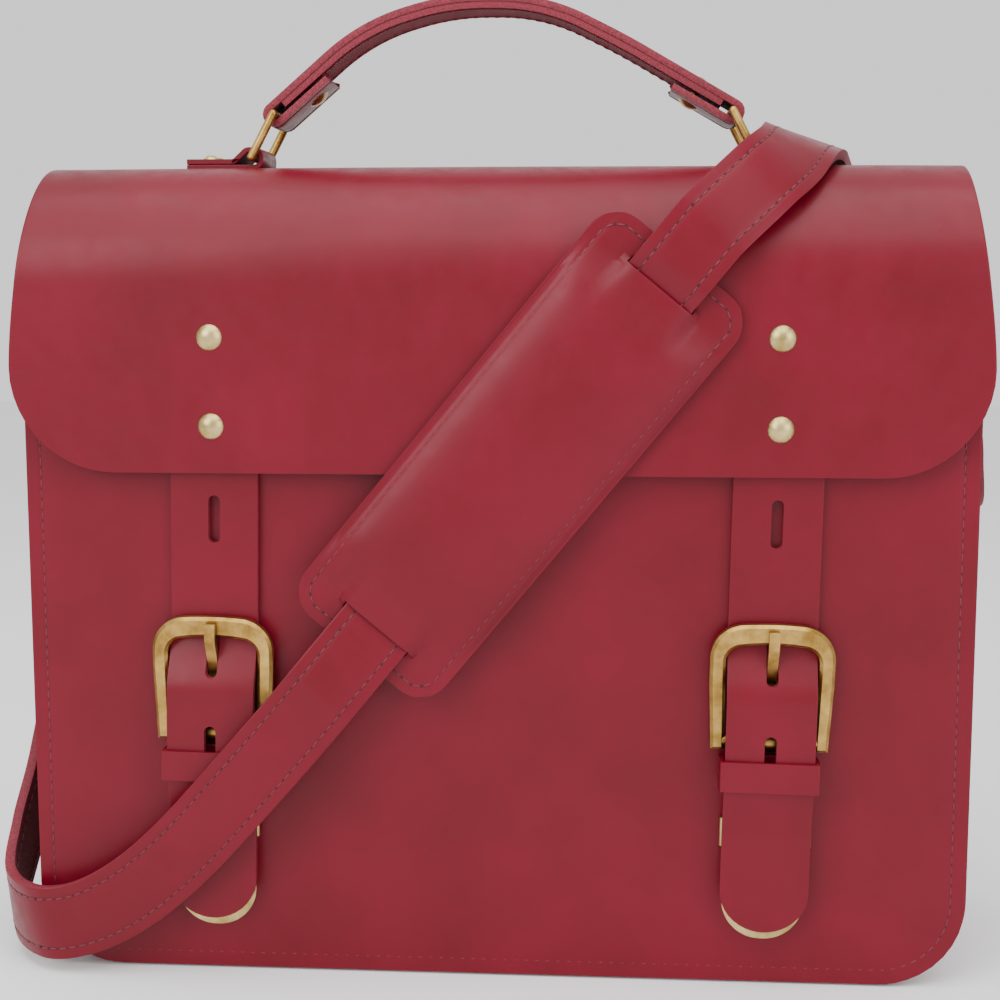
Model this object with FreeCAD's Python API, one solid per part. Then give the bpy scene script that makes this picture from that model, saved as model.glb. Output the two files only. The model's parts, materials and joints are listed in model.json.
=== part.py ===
import FreeCAD, Part
import math
import os

# Satchel bag with a fold-over flap, two buckled closure straps, a top handle and a shoulder strap.
# Millimetres. -Y is the front, +Z is up, and +X is to the right seen from the front.
# The origin is the middle of the bag's bottom.

V = FreeCAD.Vector

# Body
body_half_width = 174.0         # to the raw edge of the gusset's turned-out flange
body_depth = 100.0              # over the front and back panels
body_corner = 32.0              # radius of the panels' lower corners
front_thick = 3.0
back_thick = 3.5
gusset_thick = 2.5
flange_width = 9.0              # how far the gusset's edges turn out from its walls
panel_setback = 0.8             # the panels are this much smaller than the flange, all round
skin_gap = 2.0                  # clearance of the body's top edges under the flap
hinge_height = 284.0            # where the back leather turns into the flap

# Flap
flap_half_width = 176.0
flap_thick = 3.5
flap_top = 301.0                # outer crest
flap_bottom = 190.0             # lower edge on the front
flap_corner = 38.0              # rounded lower corners
flap_front_roll = 40.0          # centre-line radius over the front edge
flap_back_roll = 14.0           # centre-line radius over the back edge
hinge_gap = 0.5

# Closures
closure_x = 102.0               # each side of the middle
closure_lean = 1.0              # degrees that both straps hang off plumb
strap_width = 32.0
strap_thick = 3.2
anchor_top = 252.0              # top end of the strap, under the flap
tip_height = 22.5
strap_bends = [22.0, 16.0, 16.0, 22.0]  # radii where the strap lifts over the buckle's heel
rivet_heights = (239.0, 207.0)
rivet_radius = 4.7
rivet_shank = 1.6
rivet_head = 1.9
washer_radius = 4.0             # behind the clasp's and the side tabs' rivets
slot_length = 17.5
slot_width = 4.3
slot_tops = (181.5, 133.5, 97.0)
tongue_slot_extra = 1.3         # the used slot is stretched downwards by the tongue

# Buckle
buckle_half_width = 22.3
buckle_bottom = 90.2
buckle_top = 137.3
top_bar = 7.4                   # height of the top bar's face
leg_top = 7.2                   # width of a leg under the top bar
leg_bottom = 5.0
buckle_thick = 3.6
buckle_outer_radius = 12.5      # round the top corners
buckle_inner_radius = 6.0
buckle_bevel = 1.1
buckle_arch = 1.8               # rise of the top bar's middle over its corners
buckle_taper = 1.2              # how far the legs draw in towards their feet
heel_radius = 1.7
heel_height = 93.4
tongue_radius = 1.3

# Clasp behind each strap's tip
clasp_half_width = 15.0
clasp_bottom = 17.6
clasp_base_top = 64.0
clasp_base_thick = 1.2
catch_thick = 1.2
catch_bottom = 30.0
catch_top = 75.6
stud_radius = 3.8
stud_height = 45.0
stud_clearance = 1.0
eye_radius = 1.2
eye_length = 10.5
eye_top = 64.0

# Chape and keeper
chape_width = 26.0
chape_thick = 1.5
chape_end = 67.0
chape_bends = [0.9, 0.9, 3.0, 6.0]  # radii beside its two folds round the heel bar
chape_rivet_spread = 7.0
chape_rivet_head = 2.6
heel_clearance = 0.3
notch_half_width = 3.1          # the window in the chape that the tongue's loop turns in
keeper_bottom = 76.6
keeper_top = 87.6
keeper_thick = 1.6
keeper_clearance = 0.3

# Handle
ring_foot_x = 94.5
ring_foot_z = 305.6
ring_head_x = 86.0
ring_head_z = 321.6
ring_wire = 1.6                 # radius
handle_width = 25.0
handle_leather = 2.5
handle_turnback = 20.0          # length of the ends turned back under the handle
crest = [(-52.5, 354.5), (-20.0, 363.8), (16.0, 363.4), (46.5, 348.2)]  # the arch, (x, z)
crest_radii = [78, 95, 75, 300]
tab_length = 24.0
tab_thick = 2.0
tab_rivet_radius = 3.2
handle_rivet_radii = (3.4, 4.6)  # above and below
ring_clearance = 0.35

# Shoulder strap and pad
shoulder_width = 28.0
shoulder_thick = 4.0
shoulder_angle = 50.5           # slope of the front run, in degrees
pad_centre_x = 8.8
pad_centre_z = 196.0
pad_length = 184.0
pad_width = 65.5
pad_corner = 12.0
pad_leather = 3.0
pad_rise = 9.4                  # outer face of the pad's middle over the flap
pad_slot = 80.0                 # from the pad's middle to each slot
pad_slot_length = 12.0
pad_bend = 8.0
front_bends = [20.0, 12.0, 12.0, 12.0, 12.0]
buckle_lift = 3.2               # how much higher the strap runs over the left closure
lay_gap = 0.3                   # air between leathers that only lie on each other

# Side tabs and D-rings
side_ring_height = 262.0
side_tab_width = 26.0
side_tab_length = 34.0
side_rivet_radius = 3.6
side_rivet_drops = (14.0, 26.0)  # below the ring's bar
side_ring_drop = 20.0
side_ring_lean = 25.0           # degrees that the rings hang out from the gusset
side_ring_wire = 1.75
strap_end_thick = 2.5
strap_end_length = 24.0

# The soft tails of the shoulder strap, from the front run to the two D-rings, drawn for a body
# of this half width and depth
route_half_width = 174.0
route_depth = 100.0
shoulder_right_route = [
    (89.9, -58.2, 288.1), (97.4, -52.3, 296.2), (104.0, -42.5, 302.4), (108.5, -29.5, 308.0),
    (113.0, -9.0, 310.2), (118.0, 18.0, 310.2), (122.0, 43.0, 307.4), (127.0, 60.5, 297.5),
    (132.0, 67.0, 274.0), (145.0, 70.0, 240.0), (164.0, 68.0, 212.0),
    (183.0, 50.0, 192.0), (185.0, 24.0, 184.0), (180.5, 5.0, 200.0),
]
shoulder_left_route = [
    (-86.6, -67.2, 81.3), (-111.9, -64.4, 53.0), (-133.5, -61.5, 33.5), (-154.0, -59.5, 22.0),
    (-172.0, -56.0, 19.0), (-187.0, -40.0, 22.0), (-189.0, -20.0, 40.0), (-185.0, -6.0, 70.0),
    (-180.0, 0.0, 110.0), (-178.0, 0.0, 165.0),
]

front_y = -body_depth / 2
back_y = body_depth / 2
anchor_y = front_y - lay_gap - strap_thick / 2
heel_y = front_y - 4.2
top_bar_y = front_y - 3.9 - strap_thick
catch_y = front_y - 2.0            # back face of the clasp's upper plate
flap_inner_y = anchor_y - strap_thick / 2 - lay_gap
flap_outer_y = flap_inner_y - flap_thick
wall_half_width = body_half_width - flange_width


def box(x0, x1, y0, y1, z0, z1):
    return Part.makeBox(x1 - x0, y1 - y0, z1 - z0, V(x0, y0, z0))


def rod(start, end, radius):
    along = end - start
    return Part.makeCylinder(radius, along.Length, start, along)


def offset_path(points, radii, side):
    """Edges of a filleted polyline, moved sideways by side (positive to the left of travel)."""
    flat = [V(p[0], p[1], 0) for p in points]
    ways = [(b - a).normalize() for a, b in zip(flat, flat[1:])]
    lefts = [V(-w.y, w.x, 0) for w in ways]
    edges = []
    here = flat[0] + lefts[0] * side
    for corner, radius, before, after in zip(flat[1:-1], radii, range(len(ways)), range(1, len(ways))):
        turn = ways[before].getAngle(ways[after])
        sense = 1.0 if ways[before].cross(ways[after]).z > 0 else -1.0
        reach = radius * math.tan(turn / 2)
        start = corner - ways[before] * reach
        centre = start + lefts[before] * (radius * sense)
        bent = radius - sense * side
        arc_start = start + lefts[before] * side
        arc_end = corner + ways[after] * reach + lefts[after] * side
        arc_middle = centre + (corner - centre).normalize() * bent
        if (arc_start - here).Length > 1e-6:
            edges.append(Part.makeLine(here, arc_start))
        edges.append(Part.Arc(arc_start, arc_middle, arc_end).toShape())
        here = arc_end
    edges.append(Part.makeLine(here, flat[-1] + lefts[-1] * side))
    return edges


def strip(points, radii, faces, width, origin, along, across):
    """A band of leather: its two faces are offsets of a filleted line, and it has a width."""
    left = offset_path(points, radii, faces[1])
    right = offset_path(points, radii, faces[0])
    caps = [
        Part.makeLine(left[0].Vertexes[0].Point, right[0].Vertexes[0].Point),
        Part.makeLine(left[-1].Vertexes[-1].Point, right[-1].Vertexes[-1].Point),
    ]
    face = Part.Face(Part.Wire(Part.__sortEdges__(left + right + caps)))
    solid = face.extrude(V(0, 0, width))
    solid.translate(V(0, 0, -width / 2))
    normal = along.cross(across)
    matrix = FreeCAD.Matrix(
        along.x, across.x, normal.x, origin.x,
        along.y, across.y, normal.y, origin.y,
        along.z, across.z, normal.z, origin.z,
        0, 0, 0, 1,
    )
    return placed(solid, matrix)


def placed(solid, matrix):
    solid.Placement = FreeCAD.Placement(matrix).multiply(solid.Placement)
    return solid


def upright_strip(points, radii, thick, width, middle_x):
    """A band whose centre line is given as (y, z) and whose width runs along X."""
    faces = (-thick / 2, thick / 2)
    return strip(points, radii, faces, width, V(middle_x, 0, 0), V(0, 1, 0), V(0, 0, 1))


def cross_strip(points, radii, faces, width):
    """A band whose line is given as (x, z) and whose width runs along Y."""
    return strip(points, radii, faces, width, V(0, 0, 0), V(1, 0, 0), V(0, 0, 1))


def plate(outline, y_back, thick):
    """A flat plate that faces the front, from its outline in X and Z and its back face."""
    face = Part.Face(outline)
    return face.extrude(V(0, -thick, 0)).translated(V(0, y_back, 0))


def u_outline(half_width, bottom, radius, top):
    """A closed outline with square upper corners and rounded lower ones, in the XZ plane."""
    k = radius * (1 - math.sqrt(0.5))
    return Part.Wire([
        Part.makeLine(V(-half_width, 0, top), V(-half_width, 0, bottom + radius)),
        Part.Arc(
            V(-half_width, 0, bottom + radius),
            V(-half_width + k, 0, bottom + k),
            V(-half_width + radius, 0, bottom),
        ).toShape(),
        Part.makeLine(V(-half_width + radius, 0, bottom), V(half_width - radius, 0, bottom)),
        Part.Arc(
            V(half_width - radius, 0, bottom),
            V(half_width - k, 0, bottom + k),
            V(half_width, 0, bottom + radius),
        ).toShape(),
        Part.makeLine(V(half_width, 0, bottom + radius), V(half_width, 0, top)),
        Part.makeLine(V(half_width, 0, top), V(-half_width, 0, top)),
    ])


def export(name, shape):
    shape.exportStep("parts/" + name + ".step")


def both(builder):
    """Runs a builder for the left and the right side."""
    for side, word in ((-1, "left"), (1, "right")):
        builder(side, word)


def flap_path():
    top = flap_top - flap_thick / 2
    front = flap_outer_y + flap_thick / 2
    back = back_y - flap_thick / 2
    return [(back, hinge_height + hinge_gap), (back, top), (front, top), (front, flap_bottom)]


def under_flap(gap):
    """The space inside the flap's fold, smaller than it by a gap."""
    inset = flap_thick / 2 + gap
    path = flap_path()
    back, top, front = path[1][0] - inset, path[1][1] - inset, path[2][0] + inset
    floor = -10.0
    outline = offset_path(
        [(back, floor), (back, top), (front, top), (front, floor)],
        [flap_back_roll - inset, flap_front_roll - inset],
        0,
    )
    closing = Part.makeLine(outline[-1].Vertexes[-1].Point, outline[0].Vertexes[0].Point)
    face = Part.Face(Part.Wire(Part.__sortEdges__(outline + [closing])))
    solid = face.extrude(V(0, 0, 4 * body_half_width))
    solid.translate(V(0, 0, -2 * body_half_width))
    return placed(solid, FreeCAD.Matrix(0, 0, 1, 0, 1, 0, 0, 0, 0, 1, 0, 0, 0, 0, 0, 1))


def build_body():
    inner = under_flap(skin_gap)
    panel = u_outline(
        body_half_width - panel_setback, panel_setback, body_corner - panel_setback, flap_top
    )
    front = plate(panel, front_y + front_thick, front_thick).common(
        box(-500, 500, -500, 500, 0, front_panel_top(inner))
    )
    for side in (-1, 1):
        for z in clasp_rivet_heights():
            start = V(side * closure_x, front_y - 1, z)
            front = front.cut(lean(rod(start, V(start.x, 0, z), rivet_shank), side))
    export("front_panel", front)

    back = plate(panel, back_y, back_thick).common(
        box(-500, 500, -500, 500, 0, hinge_height)
    )
    export("back_panel", back)

    flange_front = front_y + front_thick
    flange_back = back_y - back_thick
    outer = u_outline(body_half_width, 0, body_corner, flap_top)
    opening = u_outline(
        wall_half_width - gusset_thick, gusset_thick, body_corner - gusset_thick, flap_top + 1
    )
    wall = u_outline(wall_half_width, 0, body_corner, flap_top)
    depth = flange_back - flange_front
    gusset = plate(wall, flange_back, depth)
    gusset = gusset.fuse(plate(outer, flange_front + gusset_thick, gusset_thick))
    gusset = gusset.fuse(plate(outer, flange_back, gusset_thick))
    gusset = gusset.cut(plate(opening, flange_back + 1, depth + 2))
    gusset = gusset.common(inner).removeSplitter()
    for side in (-1, 1):
        for hole in side_rivet_holes(side, side_tab_rivet_heights()):
            gusset = gusset.cut(hole)
    export("gusset", gusset)


def front_panel_top(inner):
    """The front panel ends where the flap's inner roll reaches its outer face."""
    centre = flap_top - flap_thick / 2 - flap_front_roll
    reach = flap_front_roll - flap_thick / 2 - skin_gap
    middle = flap_outer_y + flap_thick / 2 + flap_front_roll
    return centre + math.sqrt(reach ** 2 - (front_y - middle) ** 2)


def build_flap():
    flap = upright_strip(
        flap_path(), [flap_back_roll, flap_front_roll], flap_thick, 2 * flap_half_width, 0
    )
    corners = [
        e for e in flap.Edges
        if abs(e.tangentAt(e.FirstParameter).y) > 0.99
        and abs(e.CenterOfMass.z - flap_bottom) < 0.1
        and e.Length < 2 * flap_thick
    ]
    flap = flap.makeFillet(flap_corner, corners)
    for side in (-1, 1):
        for z in rivet_heights:
            middle = side * closure_x
            flap = flap.cut(rod(V(middle, flap_outer_y - 5, z), V(middle, front_y, z), rivet_shank))
        for y in (-handle_width / 4, handle_width / 4):
            place = side * tab_rivet_x()
            flap = flap.cut(rod(V(place, y, flap_top + 5), V(place, y, flap_top - 10), rivet_shank))
    export("flap", flap)
    heads = []
    for side in (-1, 1):
        for z in rivet_heights:
            heads.append(dome_rivet(
                V(side * closure_x, flap_outer_y, z), V(0, 1, 0),
                flap_outer_y - (front_y - lay_gap), rivet_radius,
            ))
    export("closure_rivets", Part.makeCompound(heads))


def dome_rivet(face, inward, grip, radius):
    """A solid rivet: a low dome on the face and a shank through the stack."""
    height = rivet_head
    ball = (radius ** 2 + height ** 2) / (2 * height)
    dome = Part.makeSphere(ball, face + inward * (ball - height))
    cap = Part.makeCylinder(radius, height + 1, face, inward * -1)
    shank = Part.makeCylinder(rivet_shank, abs(grip), face - inward * 0.01, inward)
    return dome.common(cap).fuse(shank)


def lean(shape, side):
    """Tips a closure about the point where its strap leaves the flap."""
    shape.rotate(V(side * closure_x, 0, flap_bottom), V(0, 1, 0), closure_lean)
    return shape


def strap_path():
    """Centre line (y, z) of a closure strap below the flap."""
    over_heel = heel_y - 4.2 - strap_thick / 2
    over_plate = catch_y - catch_thick - 0.8 - strap_thick / 2
    return [
        (anchor_y, flap_bottom - 2),
        (anchor_y, heel_height + 34.4),
        (over_heel, heel_height + 18.2),
        (over_heel, heel_height - 14.8),
        (over_plate, 60.0),
        (over_plate, tip_height),
    ]


def strap_slot(middle, top, length):
    radius = slot_width / 2
    cut = box(middle - radius, middle + radius, -90, -40, top - length + radius, top - radius)
    for z in (top - radius, top - length + radius):
        cut = cut.fuse(rod(V(middle, -90, z), V(middle, -40, z), radius))
    return cut


def build_closure_strap(side, word):
    middle = side * closure_x
    anchor = box(
        middle - strap_width / 2, middle + strap_width / 2,
        anchor_y - strap_thick / 2, anchor_y + strap_thick / 2,
        flap_bottom - 1, anchor_top,
    )
    for z in rivet_heights:
        anchor = anchor.cut(rod(V(middle, -90, z), V(middle, -40, z), rivet_shank))
    export("closure_anchor_" + word, anchor)
    strap = upright_strip(strap_path(), strap_bends, strap_thick, strap_width, middle)
    tips = [
        e for e in strap.Edges
        if abs(e.tangentAt(e.FirstParameter).y) > 0.99 and abs(e.CenterOfMass.z - tip_height) < 0.1
    ]
    strap = strap.makeFillet(strap_width / 2 - 0.5, tips)
    for top, extra in zip(slot_tops, (0, tongue_slot_extra, 0)):
        strap = strap.cut(strap_slot(middle, top, slot_length + extra))
    export("closure_strap_" + word, lean(strap, side))


def arched(outline, half, top):
    """A face whose open outline is closed by a shallow arch at the top."""
    ends = [V(half, 0, top - buckle_arch), V(-half, 0, top - buckle_arch)]
    arch = Part.Arc(ends[0], V(0, 0, top), ends[1]).toShape()
    return Part.Face(Part.Wire(Part.__sortEdges__(outline.Edges + [arch])))


def build_buckle(side, word):
    middle = side * closure_x
    rise = buckle_top - buckle_bottom
    outer = Part.makePolygon([
        V(-buckle_half_width, 0, rise - buckle_arch), V(-buckle_half_width, 0, rise * 0.55),
        V(-buckle_half_width + buckle_taper, 0, 0), V(buckle_half_width - buckle_taper, 0, 0),
        V(buckle_half_width, 0, rise * 0.55), V(buckle_half_width, 0, rise - buckle_arch),
    ])
    foot = buckle_half_width - buckle_taper - leg_bottom
    shoulder = max(buckle_half_width - leg_top, strap_width / 2 + 0.9)
    under = rise - top_bar
    inner = Part.makePolygon([
        V(-shoulder, 0, under - buckle_arch), V(-foot, 0, -1), V(foot, 0, -1),
        V(shoulder, 0, under - buckle_arch),
    ])
    frame = arched(outer, buckle_half_width, rise).extrude(V(0, -buckle_thick, 0))
    opening = arched(inner, shoulder, under).extrude(V(0, -buckle_thick - 2, 0))
    frame = frame.cut(opening.translated(V(0, 1, 0)))
    upper = [
        e for e in frame.Edges
        if abs(e.tangentAt(e.FirstParameter).y) > 0.99
        and abs(e.CenterOfMass.z - rise + buckle_arch) < 0.1
    ]
    frame = frame.makeFillet(buckle_outer_radius, upper)
    crook = [
        e for e in frame.Edges
        if abs(e.tangentAt(e.FirstParameter).y) > 0.99
        and abs(e.CenterOfMass.z - under + buckle_arch) < 0.1
    ]
    frame = frame.makeFillet(buckle_inner_radius, crook)
    face_edges = [
        e for e in frame.Edges
        if all(abs(v.Point.y + buckle_thick) < 0.01 for v in e.Vertexes)
    ]
    frame = frame.makeChamfer(buckle_bevel, face_edges)
    frame.translate(V(0, buckle_thick / 2, 0))
    heel = rod(
        V(-foot - 2, 0, heel_height - buckle_bottom), V(foot + 2, 0, heel_height - buckle_bottom),
        heel_radius,
    )
    frame = frame.fuse(heel)
    tilt = math.degrees(math.atan2(
        heel_y - top_bar_y, buckle_top - top_bar / 2 - heel_height
    ))
    frame.rotate(V(0, 0, heel_height - buckle_bottom), V(1, 0, 0), tilt)
    frame.translate(V(middle, heel_y, buckle_bottom))
    export("buckle_" + word, lean(frame, side))

    rest = top_bar_y - buckle_thick / 2 - tongue_radius - 0.4
    path = [
        (heel_y + 0.9, heel_height + 2.6), (heel_y + 0.9, heel_height + 22.2), (rest, heel_height + 35.7),
        (rest, buckle_top - 2.2),
    ]
    pin = upright_strip(path, [3, 3], 2 * tongue_radius, 2 * tongue_radius + 1.2, middle)
    loop = rod(V(middle - 2.4, heel_y, heel_height), V(middle + 2.4, heel_y, heel_height), heel_radius + 1.5)
    bore = rod(
        V(middle - 3, heel_y, heel_height), V(middle + 3, heel_y, heel_height), heel_radius + 0.08
    )
    tongue = pin.fuse(loop).cut(bore)
    export("tongue_" + word, lean(tongue, side))


def build_chape(side, word):
    middle = side * closure_x
    reach = heel_radius + heel_clearance + chape_thick / 2
    inner_y = front_y - 0.4 - chape_thick / 2
    outer_y = catch_y - catch_thick - 0.15 - chape_thick / 2
    path = [
        (inner_y, chape_end), (inner_y, heel_height - 3), (heel_y + reach, heel_height - 2),
        (heel_y + reach, heel_height + reach), (heel_y - reach, heel_height + reach),
        (heel_y - reach, heel_height - 2), (outer_y, heel_height - 14), (outer_y, chape_end),
    ]
    bends = chape_bends[:2] + [reach * 0.98, reach * 0.98] + chape_bends[2:]
    chape = upright_strip(path, bends, chape_thick, chape_width, middle)
    notch = box(
        middle - notch_half_width, middle + notch_half_width, -90, front_y,
        heel_height - 4.5, heel_height + 10,
    )
    chape = chape.cut(notch)
    for x in chape_rivet_offsets():
        chape = chape.cut(rod(
            V(middle + x, -90, chape_rivet_height()), V(middle + x, -40, chape_rivet_height()), rivet_shank
        ))
    export("chape_" + word, lean(chape, side))

    outside = strap_path()[2][0] - strap_thick / 2
    half = strap_width / 2 + keeper_clearance
    back = catch_y - 0.1
    outer_box = box(
        middle - half - keeper_thick, middle + half + keeper_thick,
        outside - keeper_clearance - keeper_thick, back, keeper_bottom, keeper_top,
    )
    inner_box = box(
        middle - half, middle + half, outside - keeper_clearance, back - 1.0,
        keeper_bottom - 1, keeper_top + 1,
    )
    rim = [e for e in outer_box.Edges if abs(e.tangentAt(e.FirstParameter).z) > 0.99]
    keeper = outer_box.makeFillet(0.9, rim).cut(inner_box)
    export("keeper_" + word, lean(keeper, side))


def chape_rivet_height():
    return (chape_end + catch_top) / 2 - 1.0


def chape_rivet_offsets():
    return (-chape_rivet_spread, chape_rivet_spread)


def clasp_rivet_heights():
    return (clasp_bottom + 10.0, clasp_base_top - 5.0)


def build_clasp(side, word):
    middle = side * closure_x
    base = plate(
        u_outline(clasp_half_width, clasp_bottom, clasp_half_width - 0.5, clasp_base_top),
        front_y, clasp_base_thick,
    ).translated(V(middle, 0, 0))
    for z in clasp_rivet_heights():
        base = base.cut(rod(V(middle, -90, z), V(middle, -40, z), rivet_shank))
    export("clasp_base_" + word, lean(base, side))

    foot = front_y - clasp_base_thick
    height = foot - (catch_y - catch_thick - 0.4)
    stud = Part.makeCone(stud_radius, stud_radius - 1.0, height, V(middle, foot, stud_height), V(0, -1, 0))
    export("clasp_stud_" + word, lean(stud, side))

    catch = plate(
        u_outline(clasp_half_width - 1, catch_bottom, clasp_half_width - 1.5, catch_top),
        catch_y, catch_thick,
    ).translated(V(middle, 0, 0))
    catch = catch.cut(rod(
        V(middle, -90, stud_height), V(middle, -40, stud_height), stud_radius + stud_clearance
    ))
    for x in (-clasp_half_width - 0.6, clasp_half_width + 0.6):
        eye_y = catch_y - catch_thick / 2 - 0.15
        eye = rod(
            V(middle + x, eye_y, eye_top - eye_length), V(middle + x, eye_y, eye_top), eye_radius
        )
        catch = catch.fuse(eye)
    for x in chape_rivet_offsets():
        catch = catch.cut(rod(
            V(middle + x, -90, chape_rivet_height()), V(middle + x, -40, chape_rivet_height()), rivet_shank
        ))
    export("clasp_catch_" + word, lean(catch, side))


def build_small_rivets():
    """The flat rivets that hold each clasp base to the front and each chape to its catch."""
    base = []
    for side in (-1, 1):
        for z in clasp_rivet_heights():
            start = V(side * closure_x, front_y - clasp_base_thick, z)
            end = V(side * closure_x, front_y + front_thick + 1.0, z)
            washer = rod(V(start.x, front_y + front_thick, z), end, washer_radius)
            base.append(lean(rod(start, end, rivet_shank).fuse(washer), side))
    export("clasp_base_rivets", Part.makeCompound(base))
    both(build_chape_rivets)


def build_chape_rivets(side, word):
    middle = side * closure_x
    front = catch_y - catch_thick - 0.15 - chape_thick
    rivets = []
    for x in chape_rivet_offsets():
        z = chape_rivet_height()
        shank = rod(V(middle + x, front_y - 0.4, z), V(middle + x, front, z), rivet_shank)
        head = rod(V(middle + x, front, z), V(middle + x, front - 0.6, z), chape_rivet_head)
        rivets.append(shank.fuse(head))
    export("chape_rivets_" + word, lean(Part.makeCompound(rivets), side))


def tab_rivet_x():
    return ring_foot_x + ring_wire + tab_length - 8


def build_ring(side, word):
    """A rectangular brass ring: one bar in the flap's tab, one in the handle's fold."""
    foot = V(side * ring_foot_x, 0, ring_foot_z)
    head = V(side * ring_head_x, 0, ring_head_z)
    half = handle_width / 2 + 1.0 + ring_wire
    bars = []
    for y in (-half, half):
        bars.append(rod(foot + V(0, y, 0), head + V(0, y, 0), ring_wire))
    for end in (foot, head):
        bars.append(rod(end + V(0, -half, 0), end + V(0, half, 0), ring_wire))
        bars.append(Part.makeSphere(ring_wire, end + V(0, -half, 0)))
        bars.append(Part.makeSphere(ring_wire, end + V(0, half, 0)))
    ring = bars[0]
    for bar in bars[1:]:
        ring = ring.fuse(bar)
    export("handle_ring_" + word, ring.removeSplitter())


def build_tab(side, word):
    """The flap's ring tab: a strip folded round the ring's foot and riveted down."""
    reach = ring_wire + ring_clearance + tab_thick / 2
    low = flap_top + tab_thick / 2
    high = ring_foot_z + reach
    near = ring_foot_x - reach
    far = ring_foot_x + ring_wire + tab_length
    upper = flap_top + tab_thick * 1.5 + 0.1
    path = [
        (far, low), (near, low), (near, high),
        (ring_foot_x + reach * 0.9, high), (ring_foot_x + reach + 4.5, upper), (far, upper),
    ]
    bend = min(reach * 0.9, (high - low) / 2 - 0.2)
    path = [(side * x, z) for x, z in path]
    half = tab_thick / 2
    tab = cross_strip(path, [bend, bend, 2.5, 2.5], (-half, half), handle_width)
    rivets = []
    place = side * tab_rivet_x()
    for y in (-handle_width / 4, handle_width / 4):
        top = V(place, y, upper + tab_thick / 2)
        tab = tab.cut(rod(top + V(0, 0, 5), V(place, y, flap_top - 10), rivet_shank))
        rivets.append(dome_rivet(top, V(0, 0, -1), top.z - flap_top + flap_thick, tab_rivet_radius))
    export("handle_tab_" + word, tab)
    return rivets


def build_handle():
    """A doubled strap whose outer leather folds round both rings and turns back underneath."""
    reach = ring_wire + ring_clearance + handle_leather / 2
    half = handle_leather / 2
    folds = []
    seats = []
    for side, first in ((-1, crest[0]), (1, crest[-1])):
        ring = V(side * ring_head_x, ring_head_z, 0)
        chord = V(first[0], first[1], 0) - ring
        slope = math.atan2(chord.y, chord.x) + side * math.asin(reach / chord.Length)
        way = V(math.cos(slope), math.sin(slope), 0)
        over = V(-way.y, way.x, 0) * -side
        tip = ring - over * reach + way * (handle_turnback + 4)
        turn = [tip, ring - (over + way) * reach, ring + (over - way) * reach]
        folds.append([(p.x, p.y) for p in turn])
        start = ring + over * reach + way * 5
        seats.append((start.x, start.y))
        middle = ring + way * (handle_turnback - 4)
        top = middle + over * (reach + half)
        bottom = middle - over * (reach + half)
        shank = rod(V(top.x, 0, top.y), V(bottom.x, 0, bottom.y), rivet_shank)
        down = V(-over.x, 0, -over.y)
        upper = dome_rivet(V(top.x, 0, top.y), down, 1.0, handle_rivet_radii[0])
        lower = dome_rivet(V(bottom.x, 0, bottom.y), down * -1, 1.0, handle_rivet_radii[1])
        seats.append((shank, upper.fuse(lower).fuse(shank)))
    left, left_rivet, right, right_rivet = seats
    bend = reach * 0.98
    path = folds[0] + crest + folds[1][::-1]
    outer = cross_strip(path, [bend, bend] + crest_radii + [bend, bend], (-half, half), handle_width)
    lining = cross_strip(
        [left] + crest + [right], crest_radii, (-half - handle_leather, -half), handle_width
    )
    rivets = []
    for shank, rivet in (left_rivet, right_rivet):
        outer = outer.cut(shank)
        lining = lining.cut(shank)
        rivets.append(rivet)
    export("handle_top", outer)
    export("handle_lining", lining)
    export("handle_rivets", Part.makeCompound(rivets))


def loft_strap(points, edge_ways, first_run):
    """The strap's soft tails: bands through points, with a chosen direction for their width."""
    spots = [V(*p) for p in points]
    frames = []
    for i, (spot, edge) in enumerate(zip(spots, edge_ways)):
        run = spots[min(i + 1, len(spots) - 1)] - spots[max(i - 1, 0)] if i else first_run
        run.normalize()
        wide = V(*edge)
        wide = (wide - run * wide.dot(run)).normalize() * (shoulder_width / 2)
        deep = run.cross(wide).normalize() * (shoulder_thick / 2)
        corners = [spot + wide + deep, spot + wide - deep, spot - wide - deep, spot - wide + deep]
        frames.append(Part.makePolygon(corners + corners[:1]))
    band = Part.makeLoft(frames, True, True)
    return band if band.Volume > 0 else band.reversed()


def fitted(route):
    """A route stretched to this body's width and depth."""
    across = body_half_width / route_half_width
    deep = body_depth / route_depth
    return [(x * across, y * deep, z) for x, y, z in route]


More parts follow.
